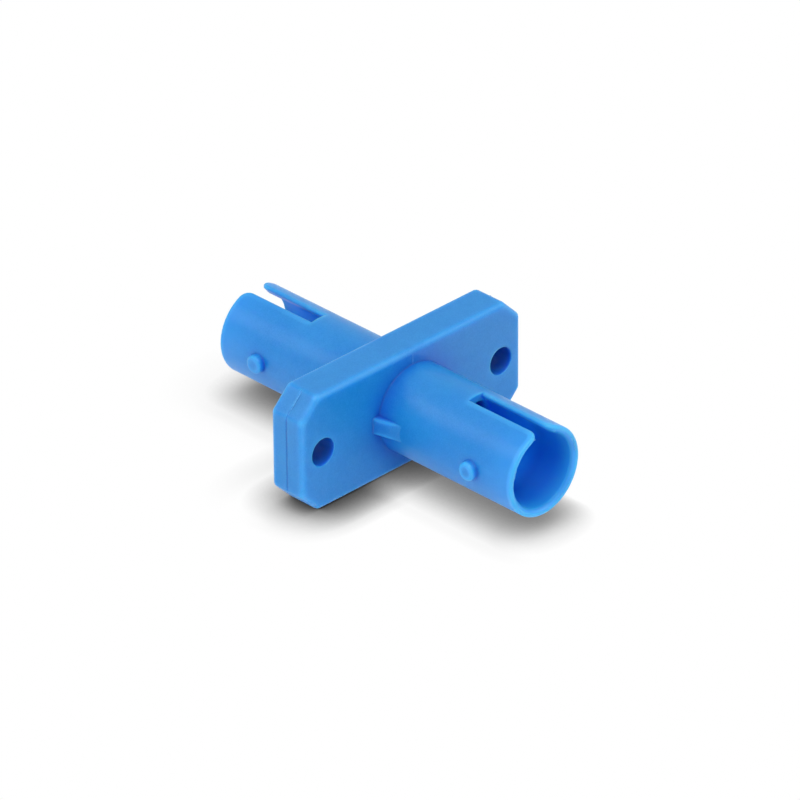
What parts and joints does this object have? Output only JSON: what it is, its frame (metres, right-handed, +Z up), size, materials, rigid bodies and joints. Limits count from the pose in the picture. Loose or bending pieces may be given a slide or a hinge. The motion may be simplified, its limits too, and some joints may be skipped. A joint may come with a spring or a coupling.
{
  "type": "st fibre adapter",
  "caption": "Flanged in-line fibre adapter with slotted bayonet barrels on both sides, a split ceramic sleeve inside and screw holes in the flange.",
  "frame": {"origin": "point where the two ferrules meet: on the barrels' axis, in the middle of the flange", "axes": "+Y along the barrels' axis towards the rear barrel, +X along the flange, +Z up through the keyway slots"},
  "size_m": [0.0222, 0.0296, 0.0094],
  "materials": {
    "housing": "satin moulded thermoplastic, mid blue",
    "sleeve": "polished zirconia ceramic, off-white"
  },
  "bodies": {
    "root": {"front_housing": "housing", "rear_housing": "housing", "alignment_sleeve": "sleeve"}
  },
  "joints": []
}
